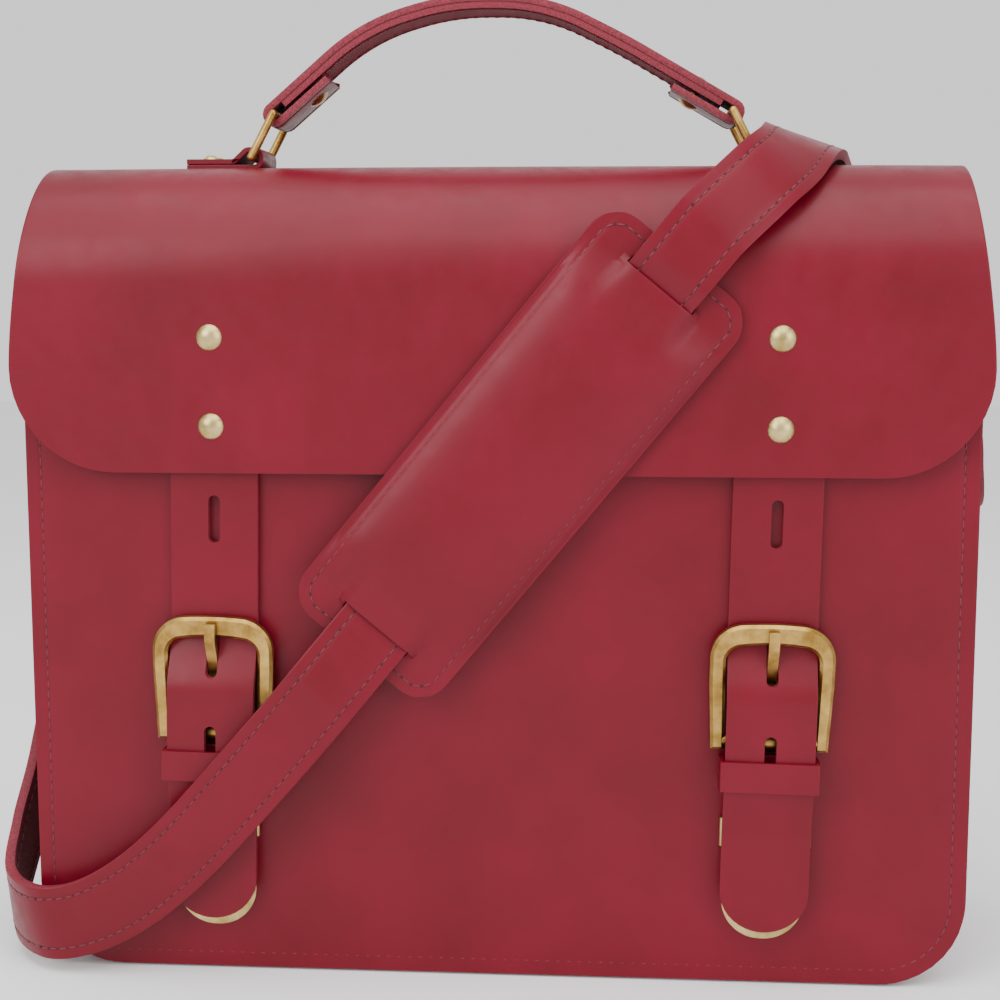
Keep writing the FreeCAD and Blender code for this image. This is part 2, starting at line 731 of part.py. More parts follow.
def build_shoulder():
    slope = math.radians(shoulder_angle)
    along = V(math.cos(slope), 0, math.sin(slope))
    out = V(0, -1, 0)
    origin = V(pad_centre_x, flap_outer_y - lay_gap, pad_centre_z)
    low = shoulder_thick / 2
    high = pad_leather + 2 * lay_gap + shoulder_thick / 2
    run = pad_slot
    front_end = run + 21.0
    over_buckle = high + buckle_lift
    path = [
        (-run - 41, over_buckle), (-run - 31, over_buckle), (-run - 6, high), (-run + 7, low),
        (run - 7, low), (run + 6, high), (front_end, high),
    ]
    half = shoulder_thick / 2
    front = strip(path, front_bends, (-half, half), shoulder_width, origin, along, out)
    export("shoulder_strap_front", front)

    def place(point):
        spot = origin + along * point[0] + out * point[1]
        return (spot.x, spot.y, spot.z)

    flat = (math.sin(slope), 0, -math.cos(slope))
    ring_end = side_ring_z() - 4
    lead = side_ring_z() - strap_end_length - 1
    right = [place((front_end + lay_gap, high))] + fitted(shoulder_right_route)
    right += [(side_ring_x(), 0, z) for z in (lead - 8, lead, ring_end)]
    right_edges = [flat] * 2 + [
        (0.78, 0.05, -0.62), (0.82, 0.08, -0.55), (0.88, 0.1, -0.38), (0.9, 0.03, -0.3),
        (0.93, 0.05, -0.24), (0.95, 0.1, -0.15), (0.95, 0.05, 0.0), (0.9, 0.0, 0.3), (0.8, -0.1, 0.55),
        (0.55, -0.3, 0.75), (0.1, -0.2, 1.0), (-0.1, 0.3, 0.95), (0.0, 0.9, 0.4), (0.0, 1.0, 0.0),
        (0.0, 1.0, 0.0), (0.0, 1.0, 0.0),
    ]
    export("shoulder_strap_right", loft_strap(right, right_edges, along))
    left = [place((-run - 41 - lay_gap, over_buckle))] + fitted(shoulder_left_route)
    left += [(-side_ring_x(), 0, z) for z in (lead, ring_end)]
    left_edges = [flat] * 3 + [
        (0.62, 0, -0.78), (0.45, 0, -0.9), (0.2, 0, -1.0), (0.0, 0.25, -1.0), (0.0, 0.6, -0.8),
        (0.0, 0.9, -0.4), (0.0, 1.0, 0.0), (0.0, 1.0, 0.0), (0.0, 1.0, 0.0), (0.0, 1.0, 0.0),
    ]
    export("shoulder_strap_left", loft_strap(left, left_edges, along * -1))

    skin = pad_leather / 2
    crown = pad_rise - pad_leather / 2
    pad_path = [
        (-pad_length / 2, skin), (-run - 6, skin), (-run + 7, crown), (run - 7, crown),
        (run + 6, skin), (pad_length / 2, skin),
    ]
    pad = strip(pad_path, [pad_bend] * 4, (-skin, skin), pad_width, origin, along, out)
    corners = [
        e for e in pad.Edges
        if abs(e.tangentAt(e.FirstParameter).y) > 0.99
        and abs((e.CenterOfMass - origin).dot(along)) > pad_length / 2 - 0.1
    ]
    pad = pad.makeFillet(pad_corner, corners)
    for end in (-1, 1):
        slot = box(
            end * run - pad_slot_length / 2, end * run + pad_slot_length / 2, -20, 20,
            -(shoulder_width / 2 + 0.6), shoulder_width / 2 + 0.6,
        )
        across = along.cross(out)
        matrix = FreeCAD.Matrix(
            along.x, out.x, across.x, origin.x, along.y, out.y, across.y, origin.y,
            along.z, out.z, across.z, origin.z, 0, 0, 0, 1,
        )
        pad = pad.cut(placed(slot, matrix))
    export("shoulder_pad", pad)


def side_ring_bar_x():
    """Where the D-ring's straight bar lies in the fold of its side tab."""
    return wall_half_width + 0.1 + tab_thick + ring_clearance + side_ring_wire


def side_ring_x():
    lean_out = math.radians(side_ring_lean)
    return side_ring_bar_x() + side_ring_drop * math.sin(lean_out)


def side_ring_z():
    lean_out = math.radians(side_ring_lean)
    return side_ring_height - side_ring_drop * math.cos(lean_out)


def build_side(side, word):
    """The tab on the gusset, its D-ring and the chape that ends the shoulder strap."""
    reach = side_ring_wire + ring_clearance + tab_thick / 2
    inner = wall_half_width + 0.1 + tab_thick / 2
    outer = inner + tab_thick + 0.2
    bar = side_ring_bar_x()
    tip = side_ring_height - side_tab_length
    top = side_ring_height + reach
    path = [
        (inner, tip), (inner, top), (bar + reach, top), (bar + reach, side_ring_height - 2.0),
        (outer, side_ring_height - 8.5), (outer, tip),
    ]
    path = [(side * x, z) for x, z in path]
    half = tab_thick / 2
    bend = reach * 0.98
    tab = cross_strip(path, [bend, bend, 2.0, 2.0], (-half, half), side_tab_width)
    rivets = []
    for z in side_tab_rivet_heights():
        head = V(side * (outer + half), 0, z)
        grip = outer + half - wall_half_width + gusset_thick
        rivet = dome_rivet(head, V(-side, 0, 0), grip + 0.8, side_rivet_radius)
        tail = V(side * (wall_half_width - gusset_thick), 0, z)
        washer = rod(tail, tail - V(side * 0.8, 0, 0), washer_radius)
        rivets.append(rivet.fuse(washer))
        tab = tab.cut(rod(head + V(side * 5, 0, 0), tail, rivet_shank))
    export("side_tab_" + word, tab)
    export("side_tab_rivets_" + word, Part.makeCompound(rivets))

    half = side_tab_width / 2 + 1.0 + side_ring_wire
    bar_centre = V(side * bar, 0, side_ring_height)
    foot = V(side * side_ring_x(), 0, side_ring_z())
    bow = half * 0.45
    fall = (foot - bar_centre)
    shoulder = bar_centre + fall * 0.55
    pieces = [rod(bar_centre - V(0, half, 0), bar_centre + V(0, half, 0), side_ring_wire)]
    pieces.append(rod(foot - V(0, half - bow, 0), foot + V(0, half - bow, 0), side_ring_wire))
    for sign in (-1, 1):
        wide = V(0, sign * half, 0)
        narrow = V(0, sign * (half - bow), 0)
        pieces.append(rod(bar_centre + wide, shoulder + wide, side_ring_wire))
        pieces.append(rod(shoulder + wide, foot + narrow, side_ring_wire))
        for joint in (bar_centre + wide, shoulder + wide, foot + narrow):
            pieces.append(Part.makeSphere(side_ring_wire, joint))
    ring = pieces[0]
    for piece in pieces[1:]:
        ring = ring.fuse(piece)
    export("side_ring_" + word, ring.removeSplitter())

    reach = side_ring_wire + ring_clearance + strap_end_thick / 2
    low = side_ring_z() - strap_end_length
    top = side_ring_z() + reach
    x = side_ring_x()
    path = [(x - reach, low), (x - reach, top), (x + reach, top), (x + reach, low)]
    path = [(side * a, z) for a, z in path]
    half = strap_end_thick / 2
    width = 2 * (side_tab_width / 2 + 1.0 - bow) - 1.0
    chape = cross_strip(path, [reach * 0.98, reach * 0.98], (-half, half), width)
    export("strap_end_" + word, chape)


def side_tab_rivet_heights():
    return tuple(side_ring_height - drop for drop in side_rivet_drops)


def side_rivet_holes(side, heights):
    return [
        rod(V(side * (wall_half_width - 10), 0, z), V(side * (wall_half_width + 10), 0, z), rivet_shank)
        for z in heights
    ]


os.makedirs("parts", exist_ok=True)
build_body()
build_flap()
both(build_closure_strap)
both(build_buckle)
both(build_chape)
both(build_clasp)
build_small_rivets()
both(build_ring)
tab_rivets = build_tab(-1, "left") + build_tab(1, "right")
export("handle_tab_rivets", Part.makeCompound(tab_rivets))
build_handle()
both(build_side)
build_shoulder()
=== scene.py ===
import json
import math
import bpy
from mathutils import Matrix, Vector, noise

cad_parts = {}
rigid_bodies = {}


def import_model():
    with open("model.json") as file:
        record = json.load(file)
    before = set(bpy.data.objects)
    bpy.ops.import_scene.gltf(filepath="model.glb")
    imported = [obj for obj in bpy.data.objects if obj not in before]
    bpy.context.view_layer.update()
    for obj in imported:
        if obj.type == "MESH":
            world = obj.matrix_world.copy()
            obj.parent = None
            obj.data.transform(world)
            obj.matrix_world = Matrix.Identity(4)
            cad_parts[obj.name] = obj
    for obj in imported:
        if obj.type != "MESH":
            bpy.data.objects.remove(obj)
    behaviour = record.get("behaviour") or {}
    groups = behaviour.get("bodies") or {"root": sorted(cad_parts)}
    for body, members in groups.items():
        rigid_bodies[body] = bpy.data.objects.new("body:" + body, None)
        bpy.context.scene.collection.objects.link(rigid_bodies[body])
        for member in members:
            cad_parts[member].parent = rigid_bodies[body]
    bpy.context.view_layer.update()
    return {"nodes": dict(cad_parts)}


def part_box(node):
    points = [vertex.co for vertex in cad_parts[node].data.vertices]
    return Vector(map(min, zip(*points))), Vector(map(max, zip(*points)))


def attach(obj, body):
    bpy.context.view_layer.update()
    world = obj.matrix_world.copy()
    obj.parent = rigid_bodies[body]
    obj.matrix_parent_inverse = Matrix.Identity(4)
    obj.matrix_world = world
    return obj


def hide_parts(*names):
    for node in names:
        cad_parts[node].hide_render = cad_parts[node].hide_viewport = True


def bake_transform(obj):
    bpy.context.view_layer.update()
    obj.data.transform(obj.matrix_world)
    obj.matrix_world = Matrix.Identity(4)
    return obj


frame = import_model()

mm = 0.001


def linear(hexColour):  # an sRGB hex value as linear RGBA
    parts = [int(hexColour[i:i + 2], 16) / 255 for i in (1, 3, 5)]
    parts = [p / 12.92 if p <= 0.04045 else ((p + 0.055) / 1.055) ** 2.4 for p in parts]
    return (*parts, 1.0)


def addNode(tree, kind, settings=None, links=None):
    node = tree.nodes.new(kind)
    for key, value in (settings or {}).items():
        if key in node.inputs:
            node.inputs[key].default_value = value
        else:
            setattr(node, key, value)
    for key, source in (links or {}).items():
        tree.links.new(source, node.inputs[key])
    return node


def newMaterial(name):
    material = bpy.data.materials.new(name)
    material.use_nodes = True
    tree = material.node_tree
    tree.nodes.clear()
    output = addNode(tree, "ShaderNodeOutputMaterial")
    shader = addNode(tree, "ShaderNodeBsdfPrincipled")
    tree.links.new(shader.outputs["BSDF"], output.inputs["Surface"])
    coords = addNode(tree, "ShaderNodeTexCoord")
    return material, tree, shader, coords.outputs["Object"]


def colourRamp(tree, source, stops):
    ramp = addNode(tree, "ShaderNodeValToRGB", links={"Fac": source})
    elements = ramp.color_ramp.elements
    elements[0].position, elements[0].color = stops[0][0], linear(stops[0][1])
    elements[1].position, elements[1].color = stops[1][0], linear(stops[1][1])
    for position, colour in stops[2:]:
        elements.new(position).color = linear(colour)
    return ramp.outputs["Color"]


bridle = {
    "dark": "#5E0315", "middle": "#650319", "light": "#6C041E",  # dyed ruby, waxed
    "cloud": 55 * mm,       # size of the dye's cloudiness
    "pore": 0.9 * mm,       # hair pores, drawn a little coarse so that they show
    "wrinkle": 7 * mm,
    "roughnessSwing": (-0.06, 0.08),  # smoother and rougher than the given value
    "roughness": 0.38,
    "coat": 0.05,
    "coatRoughness": 0.22,
    "specular": 0.22,
    "gripRoughness": 0.72,  # the handle's underside, dulled by the hand
    "gripSpecular": 0.08,
}


def bridleLeather(name, roughness, specular):
    # vegetable-tanned bridle leather, dyed through and waxed: a soft shine over fine pores
    material, tree, shader, place = newMaterial(name)
    cloud = addNode(tree, "ShaderNodeTexNoise", {
        "Scale": 1 / bridle["cloud"], "Detail": 5.0, "Roughness": 0.6}, {"Vector": place})
    colour = colourRamp(tree, cloud.outputs["Fac"], [
        (0.3, bridle["dark"]), (0.72, bridle["light"]), (0.5, bridle["middle"])])
    tree.links.new(colour, shader.inputs["Base Color"])
    pores = addNode(tree, "ShaderNodeTexVoronoi", {"Scale": 1 / bridle["pore"]}, {"Vector": place})
    grain = addNode(tree, "ShaderNodeTexNoise", {
        "Scale": 1 / bridle["wrinkle"], "Detail": 8.0, "Roughness": 0.62}, {"Vector": place})
    poreBump = addNode(tree, "ShaderNodeBump", {
        "Strength": 0.10, "Distance": 0.08 * mm}, {"Height": pores.outputs["Distance"]})
    grainBump = addNode(tree, "ShaderNodeBump", {
        "Strength": 0.22, "Distance": 0.35 * mm},
        {"Height": grain.outputs["Fac"], "Normal": poreBump.outputs["Normal"]})
    tree.links.new(grainBump.outputs["Normal"], shader.inputs["Normal"])
    wear = addNode(tree, "ShaderNodeMapRange", {
        "From Min": 0.3, "From Max": 0.7, "To Min": roughness + bridle["roughnessSwing"][0],
        "To Max": roughness + bridle["roughnessSwing"][1]}, {"Value": grain.outputs["Fac"]})
    tree.links.new(wear.outputs["Result"], shader.inputs["Roughness"])
    shader.inputs["Coat Weight"].default_value = bridle["coat"]
    shader.inputs["Coat Roughness"].default_value = bridle["coatRoughness"]
    shader.inputs["Specular IOR Level"].default_value = specular
    return material


def rawEdge():
    # the cut edge of dyed leather: paler and fibrous, so matt
    material, tree, shader, place = newMaterial("cutLeatherEdge")
    fibre = addNode(tree, "ShaderNodeTexNoise", {
        "Scale": 1 / (0.8 * mm), "Detail": 4.0}, {"Vector": place})
    colour = colourRamp(tree, fibre.outputs["Fac"], [(0.3, "#560818"), (0.7, "#84182E")])
    tree.links.new(colour, shader.inputs["Base Color"])
    bump = addNode(tree, "ShaderNodeBump", {
        "Strength": 0.4, "Distance": 0.2 * mm}, {"Height": fibre.outputs["Fac"]})
    tree.links.new(bump.outputs["Normal"], shader.inputs["Normal"])
    shader.inputs["Roughness"].default_value = 0.7
    return material


def suede():
    # the flesh side of the leather: brushed nap, dusky
    material, tree, shader, place = newMaterial("fleshSideSuede")
    nap = addNode(tree, "ShaderNodeTexNoise", {
        "Scale": 1 / (1.2 * mm), "Detail": 6.0}, {"Vector": place})
    colour = colourRamp(tree, nap.outputs["Fac"], [(0.3, "#4A1218"), (0.7, "#74303A")])
    tree.links.new(colour, shader.inputs["Base Color"])
    bump = addNode(tree, "ShaderNodeBump", {
        "Strength": 0.5, "Distance": 0.3 * mm}, {"Height": nap.outputs["Fac"]})
    tree.links.new(bump.outputs["Normal"], shader.inputs["Normal"])
    shader.inputs["Roughness"].default_value = 0.9
    return material


def waxedThread():
    # bonded polyester thread, waxed: two plies twisted, a soft sheen
    material, tree, shader, place = newMaterial("waxedThread")
    ply = addNode(tree, "ShaderNodeTexNoise", {
        "Scale": 1 / (0.5 * mm), "Detail": 2.0}, {"Vector": place})
    colour = colourRamp(tree, ply.outputs["Fac"], [(0.35, "#4C0616"), (0.65, "#70122A")])
    tree.links.new(colour, shader.inputs["Base Color"])
    shader.inputs["Roughness"].default_value = 0.5
    return material


def needleHoleShade():
    # painted shade: the dark inside an awl puncture, laid on a small dark bead since the leather is not
    # pierced
    material, tree, shader, place = newMaterial("awlHoleShade")
    speck = addNode(tree, "ShaderNodeTexNoise", {"Scale": 1 / (0.6 * mm)}, {"Vector": place})
    colour = colourRamp(tree, speck.outputs["Fac"], [(0.3, "#26040A"), (0.7, "#3A0A12")])
    tree.links.new(colour, shader.inputs["Base Color"])
    shader.inputs["Roughness"].default_value = 0.85
    return material


def brass(name, dark, light, roughness, pitting):
    # solid cast brass, tumbled: small pits, tarnish in the hollows, brighter where it is handled
    material, tree, shader, place = newMaterial(name)
    stain = addNode(tree, "ShaderNodeTexNoise", {
        "Scale": 1 / (9 * mm), "Detail": 6.0, "Roughness": 0.65}, {"Vector": place})
    colour = colourRamp(tree, stain.outputs["Fac"], [(0.32, dark), (0.68, light)])
    tree.links.new(colour, shader.inputs["Base Color"])
    pits = addNode(tree, "ShaderNodeTexNoise", {
        "Scale": 1 / (0.7 * mm), "Detail": 4.0, "Roughness": 0.7}, {"Vector": place})
    bump = addNode(tree, "ShaderNodeBump", {
        "Strength": pitting, "Distance": 0.12 * mm}, {"Height": pits.outputs["Fac"]})
    tree.links.new(bump.outputs["Normal"], shader.inputs["Normal"])
    rough = addNode(tree, "ShaderNodeMapRange", {
        "To Min": roughness - 0.08, "To Max": roughness + 0.16}, {"Value": stain.outputs["Fac"]})
    tree.links.new(rough.outputs["Result"], shader.inputs["Roughness"])
    shader.inputs["Metallic"].default_value = 1.0
    return material


leather = bridleLeather("bridleLeather", bridle["roughness"], bridle["specular"])
gripLeather = bridleLeather("gripLeather", bridle["gripRoughness"], bridle["gripSpecular"])
edge = rawEdge()
flesh = suede()
thread = waxedThread()
# painted shade inside the stitch holes
hole = needleHoleShade()
agedBrass = brass("agedCastBrass", "#8C6A32", "#C9A45E", 0.34, 0.35)
paleBrass = brass("paleBrass", "#A08850", "#D2BE88", 0.30, 0.14)
print("materials ready")


def pick(thing):
    if bpy.context.object and bpy.context.object.mode != "OBJECT":
        bpy.ops.object.mode_set(mode="OBJECT")
    bpy.ops.object.select_all(action="DESELECT")
    thing.select_set(True)
    bpy.context.view_layer.objects.active = thing


def eased(share):
    share = min(1, max(0, share))
    return share * share * (3 - 2 * share)


def roundedPath(points, radii, step):
    # a polyline in one plane with arcs at its corners, as even points
    flat = [Vector(p) for p in points]
    ways = [(b - a).normalized() for a, b in zip(flat, flat[1:])]
    path = [flat[0]]
    for corner, radius, before, after in zip(flat[1:-1], radii, ways, ways[1:]):
        turn = before.angle(after)
        sense = 1 if before.x * after.y - before.y * after.x > 0 else -1
        start = corner - before * radius * math.tan(turn / 2)
        centre = start + Vector((-before.y, before.x)) * radius * sense
        addLine(path, start, step)
        count = max(3, math.ceil(radius * turn / step))
        for i in range(1, count + 1):
            spoke = start - centre
            spoke.rotate(Matrix.Rotation(sense * turn * i / count, 2))
            path.append(centre + spoke)
    addLine(path, flat[-1], step)
    return path


def addLine(path, end, step):
    start = path[-1]
    length = (end - start).length
    if length < 1e-7:
        return
    count = max(1, math.ceil(length / step))
    for i in range(1, count + 1):
        path.append(start.lerp(end, i / count))


def sheetFromRows(name, rows):  # a grid primitive whose rows are carried to their places
    deep, wide = len(rows), len(rows[0])
    bpy.ops.object.select_all(action="DESELECT")
    bpy.ops.mesh.primitive_grid_add(x_subdivisions=wide - 1, y_subdivisions=deep - 1, size=1)
    sheet = bpy.context.object
    sheet.name = name
    sheet.data.name = name
    flat = [c for row in rows for spot in row for c in spot]
    sheet.data.vertices.foreach_set("co", flat)
    sheet.data.update()
    return sheet


def thicken(sheet, thick, materials, bevel=0.35 * mm, side=0.0, segments=2):
    # gives a sheet its wall: face leather, cut edges and the flesh side
    pick(sheet)
    for material in materials:
        sheet.data.materials.append(material)
    wall = sheet.modifiers.new("wall", "SOLIDIFY")
    wall.thickness = thick
    wall.offset = side
    wall.material_offset_rim = 1
    wall.material_offset = 2
    bpy.ops.object.modifier_apply(modifier="wall")
    if bevel:
        soft = sheet.modifiers.new("soft", "BEVEL")
        soft.width = bevel
        soft.segments = segments
        soft.limit_method = "ANGLE"
        soft.angle_limit = math.radians(50)
        bpy.ops.object.modifier_apply(modifier="soft")
    smooth(sheet)
    return sheet


def smooth(thing, angle=40):
    pick(thing)
    bpy.ops.object.shade_smooth_by_angle(angle=math.radians(angle))


def joinTo(main, others):
    pick(main)
    for other in others:
        other.select_set(True)
    bpy.ops.object.join()
    return main


# the hole sizes belong to a flat dark bead sunk beside each stitch: painted shade of the awl puncture
stitch = {
    "pitch": 4.0 * mm, "length": 2.9 * mm, "width": 0.75 * mm, "tall": 0.675 * mm, "sunk": 0.08 * mm,
    "hole": (1.125 * mm, 1.275 * mm, 0.32 * mm), "holeSunk": 0.05 * mm,
}


def sew(name, spots, normals, pitch=stitch["pitch"]):  # a row of stitches along a line on the leather, each followed by a dark bead of painted shade for the stitch holes
    bpy.ops.object.select_all(action="DESELECT")
    bpy.ops.mesh.primitive_uv_sphere_add(segments=8, ring_count=5, radius=0.5)
    bead = bpy.context.object
    beadSpots = [v.co.copy() for v in bead.data.vertices]
    beadFaces = [list(p.vertices) for p in bead.data.polygons]
    bpy.data.objects.remove(bead)
    spots = [Vector(s) for s in spots]
    total = sum((b - a).length for a, b in zip(spots, spots[1:]))
    count = max(1, round(total / pitch))
    vertices, faces, kinds = [], [], []
    travelled, index = 0.0, 0
    for i in range(count):
        wanted = (i + 0.5) * total / count
        while travelled + (spots[index + 1] - spots[index]).length < wanted:
            travelled += (spots[index + 1] - spots[index]).length
            index += 1
        a, b = spots[index], spots[index + 1]
        part = (wanted - travelled) / (b - a).length
        along = (b - a).normalized()
        up = Vector(normals[index]).lerp(Vector(normals[index + 1]), part).normalized()
        across = up.cross(along).normalized()
        centre = a.lerp(b, part) - up * stitch["sunk"]
        # half a pitch on, a dark bead of painted shade where the awl went through
        awl = centre + along * (pitch / 2) - up * stitch["holeSunk"]
        bead = (centre, stitch["length"], stitch["width"], stitch["tall"], 0)
        shapes = [bead, (awl, *stitch["hole"], 1)]
        for middle, long, wide, tall, kind in shapes:
            base = len(vertices)
            for spot in beadSpots:
                vertices.append(middle + along * spot.x * long + across * spot.y * wide
                                + up * spot.z * tall)
            faces += [[base + k for k in face] for face in beadFaces]
            kinds += [kind] * len(beadFaces)
    mesh = bpy.data.meshes.new(name)
    mesh.from_pydata(vertices, [], faces)
    mesh.materials.append(thread)
    mesh.materials.append(hole)
    mesh.polygons.foreach_set("material_index", kinds)
    mesh.update()
    row = bpy.data.objects.new(name, mesh)
    bpy.context.scene.collection.objects.link(row)
    smooth(row)
    return row


def edgeColumns(half, borders, inner):
    # places across a width: close together by the edges, even in the middle
    near = [half - b for b in borders]
    middle = [near[-1] * (1 - 2 * i / inner) for i in range(1, inner)]
    return near + middle + [-n for n in reversed(near)]


def finish(thing, body, *nodes, slot="red_leather"):
    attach(thing, body)
    if nodes:
        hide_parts(*nodes)


def lean(thing, side):  # the closures hang one degree off plumb
    top = Vector((side * closure["x"], 0, closure["top"]))
    turn = Matrix.Translation(top) @ Matrix.Rotation(math.radians(1), 4, "Y") @ Matrix.Translation(-top)
    thing.data.transform(turn)


body = {
    "halfWidth": 174 * mm, "corner": 32 * mm, "setback": 0.8 * mm, "front": -50 * mm, "back": 50 * mm,
    "thick": 3.0 * mm, "backThick": 3.5 * mm, "gusset": 2.5 * mm, "wall": 165 * mm,
    "stitchInset": 5.4 * mm, "hinge": 284 * mm,
    "taper": 7.0 * mm, "taperFrom": 225 * mm,   # how far the bag draws in at its top, each side
    "fullness": 0.4 * mm, "fullFrom": 8 * mm, "fullOver": 70 * mm,
    "creaseDepth": 0.28 * mm, "creaseWidth": 0.9 * mm,
    "toolLine": 2.9 * mm, "toolDepth": 0.18 * mm, "toolWidth": 0.5 * mm,  # scribed beside the edge
    "frontRows": 60, "frontColumns": 40, "turnOut": 2.2 * mm, "drawIn": 2.5 * mm,
    "gussetRows": 12,
}
roll = {   # the flap's rolls over the front and the back edge
    "y": -15.5 * mm, "z": 259.3 * mm, "outer": 41.75 * mm, "gap": 5.5 * mm,
    "backY": 34.25 * mm, "backZ": 285.25 * mm, "backReach": 10.25 * mm,
}


def drawnIn(z):  # the bag is drawn in a little towards its top
    return body["taper"] * eased((z - body["taperFrom"]) / (flap["top"] - body["taperFrom"]))


def panelRow(z, half, corner, bottom):  # half the panel's width at a height
    rise = z - bottom
    if rise >= corner:
        return half
    return half - corner + math.sqrt(max(0, corner ** 2 - (corner - rise) ** 2))


def panelHeights(bottom, top, corner, count):  # from the bottom up, closer round the corner
    turns = (0, 6, 13, 21, 30, 40, 50, 60, 70, 80, 90)
    arc = [bottom + corner * (1 - math.cos(math.radians(a))) for a in turns]
    return arc + [bottom + corner + (top - bottom - corner) * i / count for i in range(1, count + 1)]


def makeFrontPanel():
    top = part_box("front_panel")[1].z
    half, bottom = body["halfWidth"] - body["setback"], body["setback"]
    corner = body["corner"] - body["setback"]
    borders = [b * mm for b in (0, 0.7, 1.6, 2.6, 3.6, 4.8, 5.4, 6.0, 8, 14, 24)]
    rows = []
    for z in panelHeights(bottom, top, corner, body["frontRows"]):
        wide = panelRow(z, half, corner, bottom)
        row = []
        for x in reversed(edgeColumns(wide - drawnIn(z), borders, body["frontColumns"])):
            inset = min(half - drawnIn(z) - abs(x), z - bottom)
            if abs(x) > half - corner and z < bottom + corner:
                inset = corner - math.hypot(abs(x) - half + corner, bottom + corner - z)
            row.append((x, panelFace(inset), z))
        rows.append(row)
    panel = sheetFromRows("frontPanel", rows)
    thicken(panel, body["thick"], [leather, edge, flesh], side=-1)
    inset = body["stitchInset"]
    spots = []
    for p in panelLine(half - inset, bottom + inset, corner - inset, top):
        spots.append((p.x - math.copysign(drawnIn(p.y), p.x), panelFace(inset) - 0.05 * mm, p.y))
    seam = sew("frontSeam", spots, [(0, -1, 0)] * len(spots))
    joinTo(panel, [seam])
    finish(panel, "bag", "front_panel")
    return panel


def panelFace(inset):  # the front's outer face: creased by the seam, full in the middle
    fullness = eased((inset - body["fullFrom"]) / body["fullOver"])
    crease = math.exp(-((inset - body["stitchInset"]) / body["creaseWidth"]) ** 2)
    line = math.exp(-((inset - body["toolLine"]) / body["toolWidth"]) ** 2)
    return (body["front"] - body["fullness"] * fullness
            + body["creaseDepth"] * crease + body["toolDepth"] * line)


def panelLine(half, bottom, corner, top):  # down one side, along the bottom and up the other
    points = [(-half, top), (-half, bottom), (half, bottom), (half, top)]
    return roundedPath(points, [corner, corner], 2 * mm)


def makeGusset():
    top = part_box("gusset")[1].z
    outer = panelLine(body["halfWidth"], 0, body["corner"], top)
    rows = []
    front, back = body["front"] + body["thick"], body["back"] - body["backThick"]
    half = body["gusset"] / 2
    near, far, turn, count = front + half, back - half, body["turnOut"], body["gussetRows"]
    depths = [near, near, near + 0.3 * mm]
    depths += [near + turn + (far - near - 2 * turn) * i / count for i in range(count + 1)]
    depths += [far - 0.3 * mm, far, far]
    shares = [0, 0.6, 0.86] + [1.0] * (count + 1) + [0.86, 0.6, 0]
    for spot in outer:
        row = []
        for y, share in zip(depths, shares):
            row.append(gussetSpot(spot, y, share, half))
        rows.append(row)
    gusset = sheetFromRows("gussetStrip", rows)
    thicken(gusset, body["gusset"], [leather, edge, flesh], side=0)
    finish(gusset, "bag", "gusset")
    return gusset


def gussetSpot(spot, y, share, half):
    # from the raw flange edge (share 0) to the wall (share 1), the wall drawn in a little midway
    corner, turnIn = body["corner"], body["halfWidth"] - body["wall"]
    flat = body["halfWidth"] - corner   # half the bottom's straight part
    flangeX, flangeZ = abs(spot.x), spot.y
    if flangeZ >= corner:
        wallX, wallZ = body["wall"] - half, flangeZ
    elif flangeX > flat:
        spoke = (Vector((flangeX, flangeZ)) - Vector((flat, corner))).normalized()
        wallX = flat - turnIn + spoke.x * (corner - half)
        wallZ = corner + spoke.y * (corner - half)
    else:
        wallX, wallZ = flangeX * (flat - turnIn) / flat, half
    if y < 0:
        flangeX -= drawnIn(flangeZ)
    x = flangeX + (wallX - flangeX) * share
    z = flangeZ + (wallZ - flangeZ) * share
    if share == 1.0 and z > 20 * mm:
        draw = math.cos(math.pi * y / (body["back"] - body["front"])) ** 2
        x -= body["drawIn"] * draw * min(1, (z - 20 * mm) / (60 * mm))
    return (math.copysign(x, spot.x), y, min(z, gussetTop(y)))


def gussetTop(y):  # under the flap's two rolls
    reach = roll["outer"] - roll["gap"]
    if y < roll["y"]:
        return roll["z"] + math.sqrt(max(0, reach ** 2 - (y - roll["y"]) ** 2))
    if y > roll["backY"]:
        return roll["backZ"] + math.sqrt(max(0, roll["backReach"] ** 2 - (y - roll["backY"]) ** 2))
    return roll["z"] + reach


flap = {
    "halfWidth": 176 * mm, "thick": 3.5 * mm, "top": 301 * mm, "bottom": 190 * mm, "corner": 38 * mm,
    "frontRoll": 40 * mm, "backRoll": 14 * mm, "outer": -57.3 * mm, "backTaperFrom": 286 * mm,
    "widenFrom": 12 * mm, "widenOver": 14 * mm,     # the back widens to the flap, below its hinge
    "wave": 0.3 * mm, "waveFade": 40 * mm, "sag": 0.5 * mm, "sagReach": 12 * mm,
    "columns": 36, "rowStep": 3.2 * mm, "bevel": 0.5 * mm,
}


